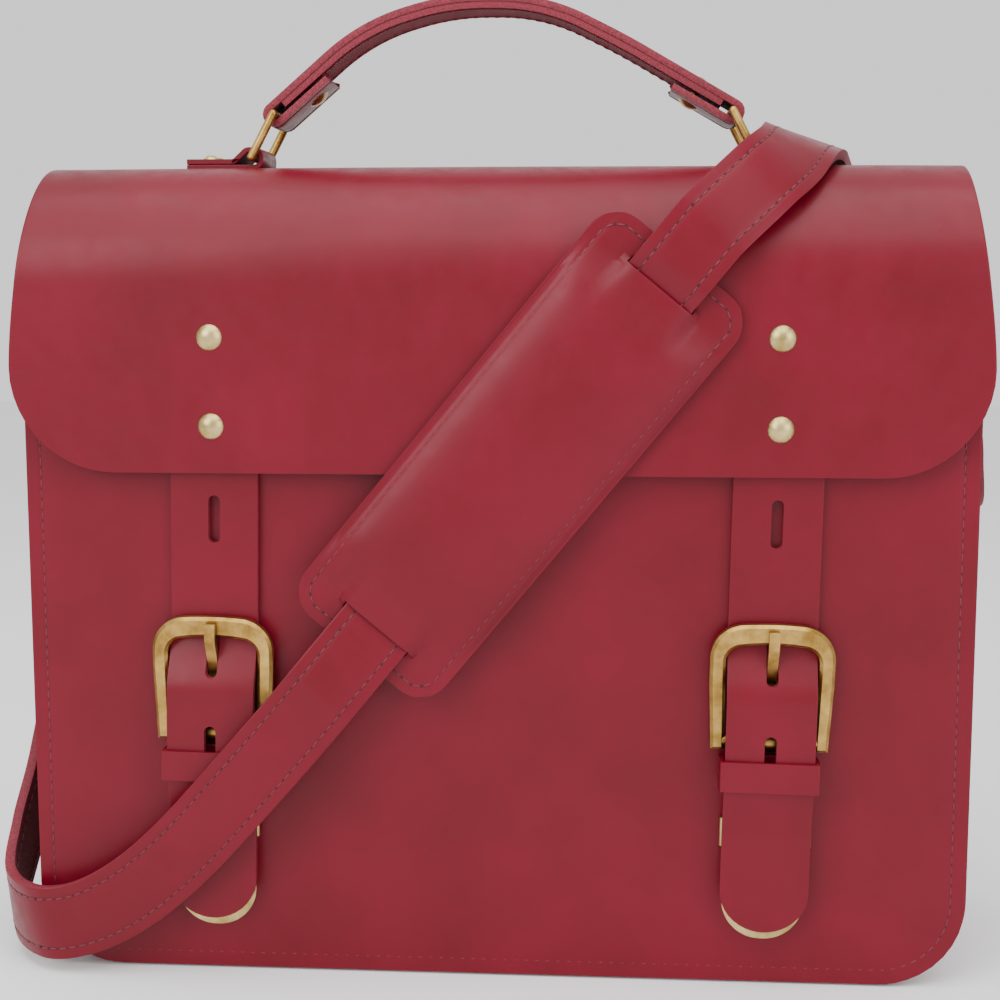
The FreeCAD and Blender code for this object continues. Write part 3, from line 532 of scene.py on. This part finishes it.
def makeFlap():
    # the back, the top and the flap are one leather, from the bottom seam round to the front edge
    half = flap["thick"] / 2
    top, front, back = flap["top"] - half, flap["outer"] + half, body["back"] - half
    low, curveEnd = body["setback"], flap["bottom"] + flap["corner"]
    straight = low + body["corner"]     # where the back's lower corners have ended
    corners = [(back, straight), (back, top), (front, top), (front, curveEnd)]
    path = roundedPath(corners, [flap["backRoll"], flap["frontRoll"]], flap["rowStep"])
    heights = panelHeights(low, straight, body["corner"] - low, 1)[:-1]
    tip = [curveEnd - flap["corner"] * math.sin(math.radians(a))
           for a in (8, 16, 24, 32, 40, 48, 56, 64, 71, 78, 84, 90)]
    spots = [Vector((back, z)) for z in heights] + path + [Vector((front, z)) for z in tip]
    borders = [b * mm for b in (0, 0.8, 1.8, 3, 5, 9, 16)]
    rows = []
    for i, spot in enumerate(spots):
        ahead, behind = spots[min(i + 1, len(spots) - 1)], spots[max(i - 1, 0)]
        way = (ahead - behind).normalized()
        out = Vector((way.y, -way.x))
        columns = edgeColumns(flapHalf(spot), borders, flap["columns"])
        rows.append([leatherSpot(x, spot, out) for x in columns])
    piece = sheetFromRows("backAndFlap", rows)
    thicken(piece, flap["thick"], [leather, edge, flesh], side=0, bevel=flap["bevel"])
    return piece


def flapHalf(spot):
    y, z = spot
    backHalf, widenFrom = body["halfWidth"] - body["setback"], body["hinge"] - flap["widenFrom"]
    if y > 0 and z < widenFrom:
        return panelRow(z, backHalf, body["corner"] - body["setback"], body["setback"])
    if y > 0 and z < widenFrom + flap["widenOver"]:
        return backHalf + (flap["halfWidth"] - backHalf) * eased((z - widenFrom) / flap["widenOver"])
    if z < flap["bottom"] + flap["corner"]:
        return panelRow(z, flap["halfWidth"], flap["corner"], flap["bottom"])
    if y > body["back"] - flap["backRoll"] + 4 * mm:
        rise = (z - flap["backTaperFrom"]) / (flap["top"] - flap["thick"] / 2 - flap["backTaperFrom"])
        return flap["halfWidth"] - body["taper"] * eased(rise)
    return flap["halfWidth"] - drawnIn(z + flap["thick"] / 2)


def leatherSpot(x, spot, out):  # slight unevenness of thick leather
    y, z = spot
    wave = noise.noise(Vector((x * 9, y * 12, z * 14))) * flap["wave"]
    wave *= min(1, (flap["halfWidth"] - abs(x)) / flap["waveFade"])
    rise = math.exp(-((z - flap["top"] + 1 * mm) / flap["sagReach"]) ** 2)
    sag = flap["sag"] * rise * (1 - (x / flap["halfWidth"]) ** 2) if abs(y) < 40 * mm else 0
    return (x, y + out.x * wave, z + out.y * wave + sag)


def makeBackSeam():
    half, bottom = body["halfWidth"] - body["setback"], body["setback"]
    inset = body["stitchInset"]
    top = body["hinge"] - 16 * mm
    line = panelLine(half - inset, bottom + inset, body["corner"] - body["setback"] - inset, top)
    spots = [(p.x, body["back"] + 0.1 * mm, p.y) for p in line]
    seam = sew("backSeam", spots, [(0, 1, 0)] * len(spots))
    finish(seam, "bag")
    return seam


frontPanel = makeFrontPanel()
gussetStrip = makeGusset()
backAndFlap = makeFlap()
backSeam = makeBackSeam()
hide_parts("flap", "back_panel")
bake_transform(backAndFlap)
print("body and flap done")


closure = {
    "x": 102 * mm, "top": 190 * mm, "half": 16 * mm, "thick": 3.2 * mm, "anchorTop": 252 * mm,
    "tip": 22.5 * mm, "y": -51.9 * mm, "overHeel": -60 * mm, "overPlate": -55.6 * mm,
    "slotTops": (181.5 * mm, 133.5 * mm, 97.0 * mm), "slotLength": 17.5 * mm, "slotWidth": 4.3 * mm,
    "slotExtra": (0, 1.3 * mm, 0),  # the used slot is stretched by the tongue
    "bends": (22 * mm, 16 * mm, 16 * mm, 22 * mm), "tipLength": 15 * mm, "crown": 0.35 * mm,
    "bevel": 0.45 * mm, "rowStep": 1.6 * mm,
}


def makeClosureStrap(side, word):
    straightEnd = closure["tip"] + closure["tipLength"]
    path = roundedPath([
        (closure["y"], closure["anchorTop"]), (closure["y"], 127.8 * mm),
        (closure["overHeel"], 111.6 * mm), (closure["overHeel"], 78.6 * mm),
        (closure["overPlate"], 60 * mm), (closure["overPlate"], straightEnd),
    ], closure["bends"], closure["rowStep"])
    for angle in (8, 18, 28, 38, 48, 58, 67, 76, 83, 89):
        height = straightEnd - closure["tipLength"] * math.sin(math.radians(angle))
        path.append(Vector((closure["overPlate"], height)))
    radius = closure["half"]
    rows = []
    for spot in path:
        drop = max(0, straightEnd - spot.y) / closure["tipLength"]
        half = math.sqrt(max(0.2 * mm ** 2, radius ** 2 * (1 - drop ** 2)))
        row = []
        for x in edgeColumns(half, [min(b * mm, half * 0.3) for b in (0, 0.5, 1.2, 2.4)], 12):
            crown = closure["crown"] * (1 - (x / radius) ** 2)
            row.append((side * closure["x"] + x, spot.x - crown, spot.y))
        rows.append(row)
    strap = sheetFromRows("closureStrap" + word, rows)
    thicken(strap, closure["thick"], [leather, edge, flesh], side=0, bevel=closure["bevel"])
    for top, extra in zip(closure["slotTops"], closure["slotExtra"]):
        cutSlot(strap, side * closure["x"], top, closure["slotLength"] + extra)
    lean(strap, side)
    smooth(strap)
    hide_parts("closure_strap_" + word, "closure_anchor_" + word)
    x = side * closure["x"]
    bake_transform(strap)
    return strap


def cutSlot(strap, x, top, length):  # a round hole with a slit running down from it
    radius = closure["slotWidth"] / 2
    bpy.ops.object.select_all(action="DESELECT")
    bpy.ops.mesh.primitive_cylinder_add(
        vertices=32, radius=radius, depth=20 * mm, location=(x, -56 * mm, top - radius),
        rotation=(math.pi / 2, 0, 0))
    cutter = bpy.context.object
    bpy.ops.object.transform_apply(location=True, rotation=True, scale=True)
    for vertex in cutter.data.vertices:
        if vertex.co.z < top - radius:
            vertex.co.z -= length - 2 * radius
    cutter.data.update()
    pick(strap)
    cut = strap.modifiers.new("slot", "BOOLEAN")
    cut.object = cutter
    cut.operation = "DIFFERENCE"
    cut.solver = "EXACT"
    cutter.data.materials.append(edge)
    bpy.ops.object.modifier_apply(modifier="slot")
    bpy.data.objects.remove(cutter)


for side, word in ((-1, "left"), (1, "right")):
    makeClosureStrap(side, word)
print("closure straps done")


shoulder = {
    "half": 14 * mm, "thick": 4 * mm, "angle": 50.5, "padCentre": (8.8 * mm, -57.6 * mm, 196 * mm),
    "slot": 80 * mm, "low": 2 * mm, "high": 5.9 * mm, "lift": 3.2 * mm, "stitchInset": 4.3 * mm,
    "bevel": 0.5 * mm, "crease": 0.22 * mm, "creaseWidth": 0.7 * mm, "crown": 0.3 * mm,
    "frontStep": 1.8 * mm, "tailStep": 2.5 * mm, "bend": 12 * mm, "liftBend": 20 * mm, "runIn": 14 * mm,
}
slope = math.radians(shoulder["angle"])
runWay = Vector((math.cos(slope), 0, math.sin(slope)))
flatAcross = Vector((math.sin(slope), 0, -math.cos(slope)))
rightRoute = [
    (88.4, -58.4, 289.3), (96.7, -52.5, 297.0), (103.7, -42.5, 302.7), (108.5, -29.5, 308.0),
    (113.0, -9.0, 310.2), (118.0, 18.0, 310.2), (122.0, 43.0, 307.4), (127.0, 60.5, 297.5),
    (132.0, 67.0, 274.0), (145.0, 70.0, 240.0), (164.0, 68.0, 212.0), (183.0, 50.0, 192.0),
    (185.0, 24.0, 184.0), (180.5, 5.0, 200.0), (177.7, 0.0, 210.9), (177.7, 0.0, 218.9),
    (177.7, 0.0, 239.9),
]
rightAcross = [flatAcross] + [
    (0.78, 0.05, -0.62), (0.82, 0.08, -0.55), (0.88, 0.1, -0.38), (0.9, 0.03, -0.3),
    (0.93, 0.05, -0.24), (0.95, 0.1, -0.15), (0.95, 0.05, 0.0), (0.9, 0.0, 0.3), (0.8, -0.1, 0.55),
    (0.55, -0.3, 0.75), (0.1, -0.2, 1.0), (-0.1, 0.3, 0.95), (0.0, 0.9, 0.4),
] + [(0.0, 1.0, 0.0)] * 3
leftRoute = [
    (-86.6, -67.2, 81.3), (-111.9, -64.4, 53.0), (-133.5, -61.5, 33.5), (-154.0, -59.5, 22.0),
    (-172.0, -56.0, 19.0), (-187.0, -40.0, 22.0), (-189.0, -20.0, 40.0), (-185.0, -6.0, 70.0),
    (-180.0, 0.0, 110.0), (-178.0, 0.0, 165.0), (-177.7, 0.0, 218.9), (-177.7, 0.0, 239.9),
]
leftAcross = [flatAcross] * 2 + [
    (0.62, 0, -0.78), (0.45, 0, -0.9), (0.2, 0, -1.0), (0.0, 0.25, -1.0), (0.0, 0.6, -0.8),
    (0.0, 0.9, -0.4),
] + [(0.0, 1.0, 0.0)] * 4


def runSpot(s, n):  # a place on the front run: s along it from the pad's middle, n out from the flap
    return Vector(shoulder["padCentre"]) + runWay * s + Vector((0, -1, 0)) * n


def smoothRoute(before, points, ways, step):  # Catmull-Rom through the points, and their twist
    spots, across = [], []
    for i in range(len(points) - 1):
        b, c, d = points[i], points[i + 1], points[min(i + 2, len(points) - 1)]
        a = points[i - 1] if i else before
        turns = [ways[max(i - 1, 0)], ways[i], ways[i + 1], ways[min(i + 2, len(ways) - 1)]]
        count = max(1, round((c - b).length / step))
        for k in range(count):
            spots.append(curveSpot(a, b, c, d, k / count))
            across.append(curveSpot(*turns, k / count))
    spots.append(points[-1])
    across.append(ways[-1])
    return spots, across


def curveSpot(a, b, c, d, t):
    return 0.5 * ((2 * b) + (c - a) * t + (2 * a - 5 * b + 4 * c - d) * t ** 2
                  + (3 * b - a - 3 * c + d) * t ** 3)


def makeBand(name, spots, across, half, thick, inset, materials=None, flip=False):
    borders = [0, 0.5 * mm, 1.3 * mm, 2.6 * mm]
    borders += [inset - 0.6 * mm, inset, inset + 0.6 * mm, inset + 2 * mm]
    rows, ups = [], []
    for i, spot in enumerate(spots):
        way = (spots[min(i + 1, len(spots) - 1)] - spots[max(i - 1, 0)]).normalized()
        wide = Vector(across[i])
        wide = (wide - way * wide.dot(way)).normalized()
        up = way.cross(wide).normalized() * (-1 if flip else 1)
        ups.append((wide, up))
        row = []
        for x in edgeColumns(half, borders, 6):
            gap = half - abs(x)
            dip = shoulder["crease"] * math.exp(-((gap - inset) / shoulder["creaseWidth"]) ** 2)
            crown = shoulder["crown"] * (1 - (x / half) ** 2)
            row.append(spot + wide * x + up * (crown - dip))
        rows.append(row)
    band = sheetFromRows(name, rows)
    if flip:
        pick(band)
        bpy.ops.object.mode_set(mode="EDIT")
        bpy.ops.mesh.select_all(action="SELECT")
        bpy.ops.mesh.flip_normals()
        bpy.ops.object.mode_set(mode="OBJECT")
    thicken(band, thick, materials or [leather, edge, flesh], side=0, bevel=shoulder["bevel"])
    return band, ups


def sewBand(name, spots, ups, half, inset, thick, faces=(1, -1), start=0, stop=None):
    # two rows of stitches along a band, on its outer face (1) and its inner one (-1)
    rows = []
    for hand in (-1, 1):
        for face in faces:
            out = thick / 2 + (0.06 if face == 1 else 0.26) * mm
            run = list(zip(spots, ups))[start:stop]
            line = [spot + wide * hand * (half - inset) + up * face * out for spot, (wide, up) in run]
            rows.append(sew(name, line, [up * face for spot, (wide, up) in run]))
    return rows


def makeSide(name, direction, route, ways):
    # one band from under the pad's middle, out through its slot and on to the D-ring
    slotAt, low, high = shoulder["slot"], shoulder["low"], shoulder["high"]
    corners = [(0, low), (slotAt - 7 * mm, low), (slotAt + 6 * mm, high)]
    radii = [shoulder["bend"], shoulder["bend"]]
    if direction > 0:
        corners.append((slotAt + 25 * mm, high))
    else:
        over = high + shoulder["lift"]
        corners += [(slotAt + 31 * mm, over), (slotAt + 41 * mm, over)]
        radii.append(shoulder["liftBend"])
    path = roundedPath(corners, radii, shoulder["frontStep"])
    front = [runSpot(direction * p.x, p.y) for p in path]
    tail = [front[-1]] + [Vector(p) * mm for p in route]
    before = front[-1] - runWay * direction * shoulder["runIn"]
    ways = [flatAcross] + [Vector(w).normalized() for w in ways]
    tailSpots, tailWays = smoothRoute(before, tail, ways, shoulder["tailStep"])
    spots, across = front + tailSpots[1:], [flatAcross] * len(front) + tailWays[1:]
    half, thick, inset = shoulder["half"], shoulder["thick"], shoulder["stitchInset"]
    band, ups = makeBand(name, spots, across, half, thick, inset, flip=direction > 0)
    joinTo(band, sewBand(name, spots, ups, half, inset, thick))
    ringSide = cutOff(band, name + "End", lambda spot: abs(spot.x) > 170 * mm and spot.z > 110 * mm
                      and -16 * mm < spot.y < 32 * mm)
    gate = Vector(shoulder["padCentre"]) + runWay * direction * (slotAt + 20 * mm)
    padSide = cutOff(band, name + "Front", lambda spot: (spot - gate).dot(runWay * direction) < 0
                     and spot.y < -45 * mm)
    return band, ringSide, padSide


def cutOff(thing, name, wanted):  # parts a band across its run
    pick(thing)
    bpy.ops.object.mode_set(mode="EDIT")
    bpy.ops.mesh.select_mode(type="FACE")
    bpy.ops.mesh.select_all(action="DESELECT")
    bpy.ops.object.mode_set(mode="OBJECT")
    for face in thing.data.polygons:
        face.select = wanted(face.center)
    before = set(bpy.data.objects)
    bpy.ops.object.mode_set(mode="EDIT")
    bpy.ops.mesh.separate(type="SELECTED")
    bpy.ops.object.mode_set(mode="OBJECT")
    part = (set(bpy.data.objects) - before).pop()
    part.name = name
    return part


right, rightEnd, upperFront = makeSide("strapRight", 1, rightRoute, rightAcross)
left, leftEnd, lowerFront = makeSide("strapLeft", -1, leftRoute, leftAcross)
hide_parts("shoulder_strap_front")
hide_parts("shoulder_strap_right")
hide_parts("shoulder_strap_left")
for part, direction in ((upperFront, 1), (lowerFront, -1)):
    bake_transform(part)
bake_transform(right)
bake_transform(rightEnd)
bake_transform(left)
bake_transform(leftEnd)
print("shoulder strap done")


pad = {
    "halfLength": 92 * mm, "halfWidth": 32.75 * mm, "corner": 12 * mm, "slotHalf": 15.2 * mm,
    "slotOpen": 3.4 * mm, "slotAt": 80 * mm, "flatTop": 3.2 * mm, "crown": 9.2 * mm,
    "stitchInset": 4.3 * mm, "thick": 2.4 * mm, "pitch": 4.1 * mm, "bevel": 0.5 * mm,
    "rise": 24 * mm,        # how far from each slot the pad comes up to its full height
    "overStrap": 17.5 * mm, "overStrapShare": 0.72, "crease": 0.3 * mm, "creaseWidth": 0.8 * mm,
    "wave": 0.25 * mm,
}


def makePad():
    # two leathers sewn round the edge, lifted in the middle by the strap that runs beneath
    borders = [b * mm for b in (0, 0.6, 1.4, 2.8, 3.7, 4.3, 4.9, 6.5, 10, 13, 15.6)]
    columns = edgeColumns(pad["halfWidth"], borders, 12)
    corner = pad["corner"]
    arc = [corner * (1 - math.cos(math.radians(a))) for a in (0, 9, 18, 27, 36, 46, 56, 66, 78, 90)]
    lengths = [-pad["halfLength"] + a for a in arc]
    lengths += [-pad["slotAt"] + pad["slotOpen"] * k for k in (-0.5, 0.5)]
    inner = [-77.0, -75.5, -73.5, -71, -68, -65, -61, -56, -49, -41, -32, -21, -10, 0]
    lengths = sorted(set([round(v, 7) for v in lengths] + [v * mm for v in inner]))
    lengths = lengths + [-v for v in reversed(lengths[:-1])]
    rows = []
    for s in lengths:
        wide = padHalf(s)
        row = []
        for x in columns:
            t = x / pad["halfWidth"] * wide
            row.append(runSpot(s, padHeight(s, t) - pad["thick"] / 2) + flatAcross * t)
        rows.append(row[::-1])
    top = sheetFromRows("shoulderPad", rows)
    cutPadSlots(top)
    thicken(top, pad["thick"], [leather, edge, flesh], side=0, bevel=pad["bevel"])
    spots, normals = [], []
    for p in padOutline(pad["stitchInset"]):
        spots.append(runSpot(p.x, padHeight(p.x, p.y) + 0.08 * mm) + flatAcross * p.y)
        tilt = (padHeight(p.x, p.y + 0.2 * mm) - padHeight(p.x, p.y - 0.2 * mm)) / (0.4 * mm)
        normals.append((Vector((0, -1, 0)) - flatAcross * tilt).normalized())
    joinTo(top, [sew("padSeam", spots, normals, pad["pitch"])])
    finish(top, "shoulder_pad", "shoulder_pad", slot="pad_leather")
    return top


def padHalf(s):
    over = abs(s) - (pad["halfLength"] - pad["corner"])
    if over <= 0:
        return pad["halfWidth"]
    return pad["halfWidth"] - pad["corner"] + math.sqrt(max(0, pad["corner"] ** 2 - over ** 2))


def padHeight(s, t):  # the outer face over the flap
    inset = pad["halfWidth"] - abs(t)
    dome = math.sqrt(max(0, 1 - (t / (pad["halfWidth"] - 2 * mm)) ** 2))
    along = eased((pad["slotAt"] + 1 * mm - abs(s)) / pad["rise"])
    overStrap = eased((pad["overStrap"] - abs(t)) / (5 * mm)) if abs(s) < pad["slotAt"] else 0
    along = along + (1 - along) * overStrap * pad["overStrapShare"]
    rise = (pad["crown"] - pad["flatTop"]) * along * dome
    crease = pad["crease"] * math.exp(-((inset - pad["stitchInset"]) / pad["creaseWidth"]) ** 2)
    wave = pad["wave"] * noise.noise(Vector((s * 40, t * 40, 3.1)))
    return pad["flatTop"] + rise - crease + wave * along


def padOutline(inset):
    a, b, r = pad["halfLength"] - inset, pad["halfWidth"] - inset, pad["corner"] - inset
    return roundedPath([(0, -b), (a, -b), (a, b), (-a, b), (-a, -b), (0, -b)], [r] * 4, 2 * mm)


def cutPadSlots(top):
    pick(top)
    bpy.ops.object.mode_set(mode="EDIT")
    bpy.ops.mesh.select_all(action="DESELECT")
    bpy.ops.mesh.select_mode(type="FACE")
    bpy.ops.object.mode_set(mode="OBJECT")
    origin = Vector(shoulder["padCentre"])
    for face in top.data.polygons:
        away = Vector(face.center) - origin
        s, t = away.dot(runWay), away.dot(flatAcross)
        face.select = abs(abs(s) - pad["slotAt"]) < pad["slotOpen"] / 2 and abs(t) < pad["slotHalf"]
    bpy.ops.object.mode_set(mode="EDIT")
    bpy.ops.mesh.delete(type="FACE")
    bpy.ops.mesh.select_mode(type="VERT")
    bpy.ops.object.mode_set(mode="OBJECT")


shoulderPad = makePad()
print("pad done")


handle = {
    "half": 12.5 * mm, "leather": 2.5 * mm, "inset": 3.2 * mm, "reach": 3.2 * mm, "turnback": 24 * mm,
    "step": 0.5 * mm,       # the lining's edge stands in from the outer leather's
    "rowStep": 1.6 * mm, "seat": 5 * mm, "seamGap": 12,     # rows left unsewn at the lining's ends
    "ring": (86 * mm, 321.6 * mm), "crest": [(-52.5, 354.5), (-20, 363.8), (16, 363.4), (46.5, 348.2)],
    "radii": [78 * mm, 95 * mm, 75 * mm, 300 * mm],
}


crosswise = Vector((0, 1, 0))


def handleFolds():
    crest = [Vector(p) * mm for p in handle["crest"]]
    reach = handle["reach"]
    folds, seats = [], []
    for side, first in ((-1, crest[0]), (1, crest[-1])):
        ring = Vector((side * handle["ring"][0], handle["ring"][1]))
        chord = first - ring
        angle = math.atan2(chord.y, chord.x) + side * math.asin(reach / chord.length)
        way = Vector((math.cos(angle), math.sin(angle)))
        over = Vector((-way.y, way.x)) * -side
        folds.append([ring - over * reach + way * handle["turnback"], ring - (over + way) * reach,
                      ring + (over - way) * reach])
        seats.append(ring + over * reach + way * handle["seat"])
    return crest, folds, seats


def makeHandle():
    crest, folds, seats = handleFolds()
    bend = handle["reach"] * 0.98
    corners, radii = folds[0] + crest + folds[1][::-1], [bend, bend] + handle["radii"] + [bend, bend]
    spots = [Vector((p.x, 0, p.y)) for p in roundedPath(corners, radii, handle["rowStep"])]
    half, thick, inset = handle["half"], handle["leather"], handle["inset"]
    outer, ups = makeBand("handleOuter", spots, [crosswise] * len(spots), half, thick, inset)
    upper = [i for i, (wide, up) in enumerate(ups) if up.z > 0.3]
    joinTo(outer, sewBand("handleSeam", spots, ups, half, inset, thick, faces=(1,),
                          start=upper[0] + 3, stop=upper[-1] - 2))
    finish(outer, "handle", "handle_top")
    liningPath = roundedPath([seats[0]] + crest + [seats[1]], handle["radii"], handle["rowStep"])
    spots = []
    for i, p in enumerate(liningPath):
        way = (liningPath[min(i + 1, len(liningPath) - 1)] - liningPath[max(i - 1, 0)]).normalized()
        spots.append(Vector((p.x + way.y * thick, 0, p.y - way.x * thick)))
    lining, ups = makeBand("handleLining", spots, [crosswise] * len(spots), half - handle["step"],
                           thick, inset, materials=[flesh, edge, gripLeather])
    joinTo(lining, sewBand("liningSeam", spots, ups, half, inset, thick, faces=(-1,),
                           start=handle["seamGap"], stop=-handle["seamGap"]))
    finish(lining, "handle", "handle_lining")


makeHandle()
print("handle done")


leatherNodes = [
    "handle_tab_left", "handle_tab_right", "side_tab_left", "side_tab_right", "strap_end_left",
    "strap_end_right", "chape_left", "chape_right", "keeper_left", "keeper_right",
]
agedNodes = [
    "buckle_left", "buckle_right", "tongue_left", "tongue_right", "handle_ring_left",
    "handle_ring_right", "side_ring_left", "side_ring_right", "chape_rivets_left", "chape_rivets_right",
]
paleNodes = [
    "closure_rivets", "handle_tab_rivets", "handle_rivets", "side_tab_rivets_left",
    "side_tab_rivets_right", "clasp_base_left", "clasp_base_right", "clasp_catch_left",
    "clasp_catch_right", "clasp_stud_left", "clasp_stud_right", "clasp_base_rivets",
]
softEdge = {"usual": 0.3 * mm, "tongue": 0.9 * mm, "keeper": 0.6 * mm, "angle": 35}


def dress(name, material):  # gives a node its material and takes the sharpness off its edges
    node = frame["nodes"][name]
    node.data.materials.clear()
    node.data.materials.append(material)
    kind = name.split("_")[0]
    if kind == "buckle":    # its edges are chamfered already
        return
    node.modifiers.new("joined", "WELD").merge_threshold = 0.005 * mm
    soft = node.modifiers.new("soft", "BEVEL")
    soft.width = softEdge.get(kind, softEdge["usual"])
    soft.segments = 2
    soft.angle_limit = math.radians(softEdge["angle"])


for names, material in ((leatherNodes, leather), (agedNodes, agedBrass), (paleNodes, paleBrass)):
    for name in names:
        dress(name, material)
print("hardware dressed")


studio = {
    "floor": 6.0, "paper": "#F2F2F2", "paperRoughness": 0.9, "world": "#FFFFFF", "worldStrength": 1.1,
    "camera": (46.3 * mm, -656.1 * mm, 257.8 * mm), "tilt": 82.73, "turn": 4.16, "lens": 60.8,
    "lights": {     # place, aim, size and power
        "topLight": ((0.0, -0.35, 1.1), (0, 0, 0.25), 1.1, 12.0),
        "keyLight": ((-0.9, -1.3, 0.9), (0, 0, 0.15), 0.9, 14.0),
        "fillLight": ((1.2, -1.2, 0.6), (0, 0, 0.15), 0.9, 9.0),
    },
}


def makeStudio():
    bpy.ops.object.select_all(action="DESELECT")
    bpy.ops.mesh.primitive_plane_add(size=studio["floor"], location=(0, 0, -0.2 * mm))
    floor = bpy.context.object
    floor.name = "floor"
    material, tree, shader, place = newMaterial("palePaper")
    shader.inputs["Base Color"].default_value = linear(studio["paper"])
    shader.inputs["Roughness"].default_value = studio["paperRoughness"]
    floor.data.materials.append(material)
    world = bpy.data.worlds.new("softRoom")
    world.use_nodes = True
    background = world.node_tree.nodes["Background"]
    background.inputs["Color"].default_value = linear(studio["world"])
    background.inputs["Strength"].default_value = studio["worldStrength"]
    bpy.context.scene.world = world
    for name, setting in studio["lights"].items():
        softLight(name, *setting)
    camera = bpy.data.cameras.new("camera")
    camera.lens = studio["lens"]
    camera.clip_start, camera.clip_end = 0.01, 50
    eye = bpy.data.objects.new("camera", camera)
    bpy.context.scene.collection.objects.link(eye)
    eye.location = studio["camera"]
    eye.rotation_euler = (math.radians(studio["tilt"]), 0, math.radians(studio["turn"]))
    bpy.context.scene.camera = eye


def softLight(name, place, aim, size, power):
    light = bpy.data.lights.new(name, "AREA")
    light.shape = "SQUARE"
    light.size = size
    light.energy = power
    lamp = bpy.data.objects.new(name, light)
    bpy.context.scene.collection.objects.link(lamp)
    lamp.location = place
    lamp.rotation_euler = (Vector(aim) - Vector(place)).to_track_quat("-Z", "Y").to_euler()


makeStudio()
print("studio done")
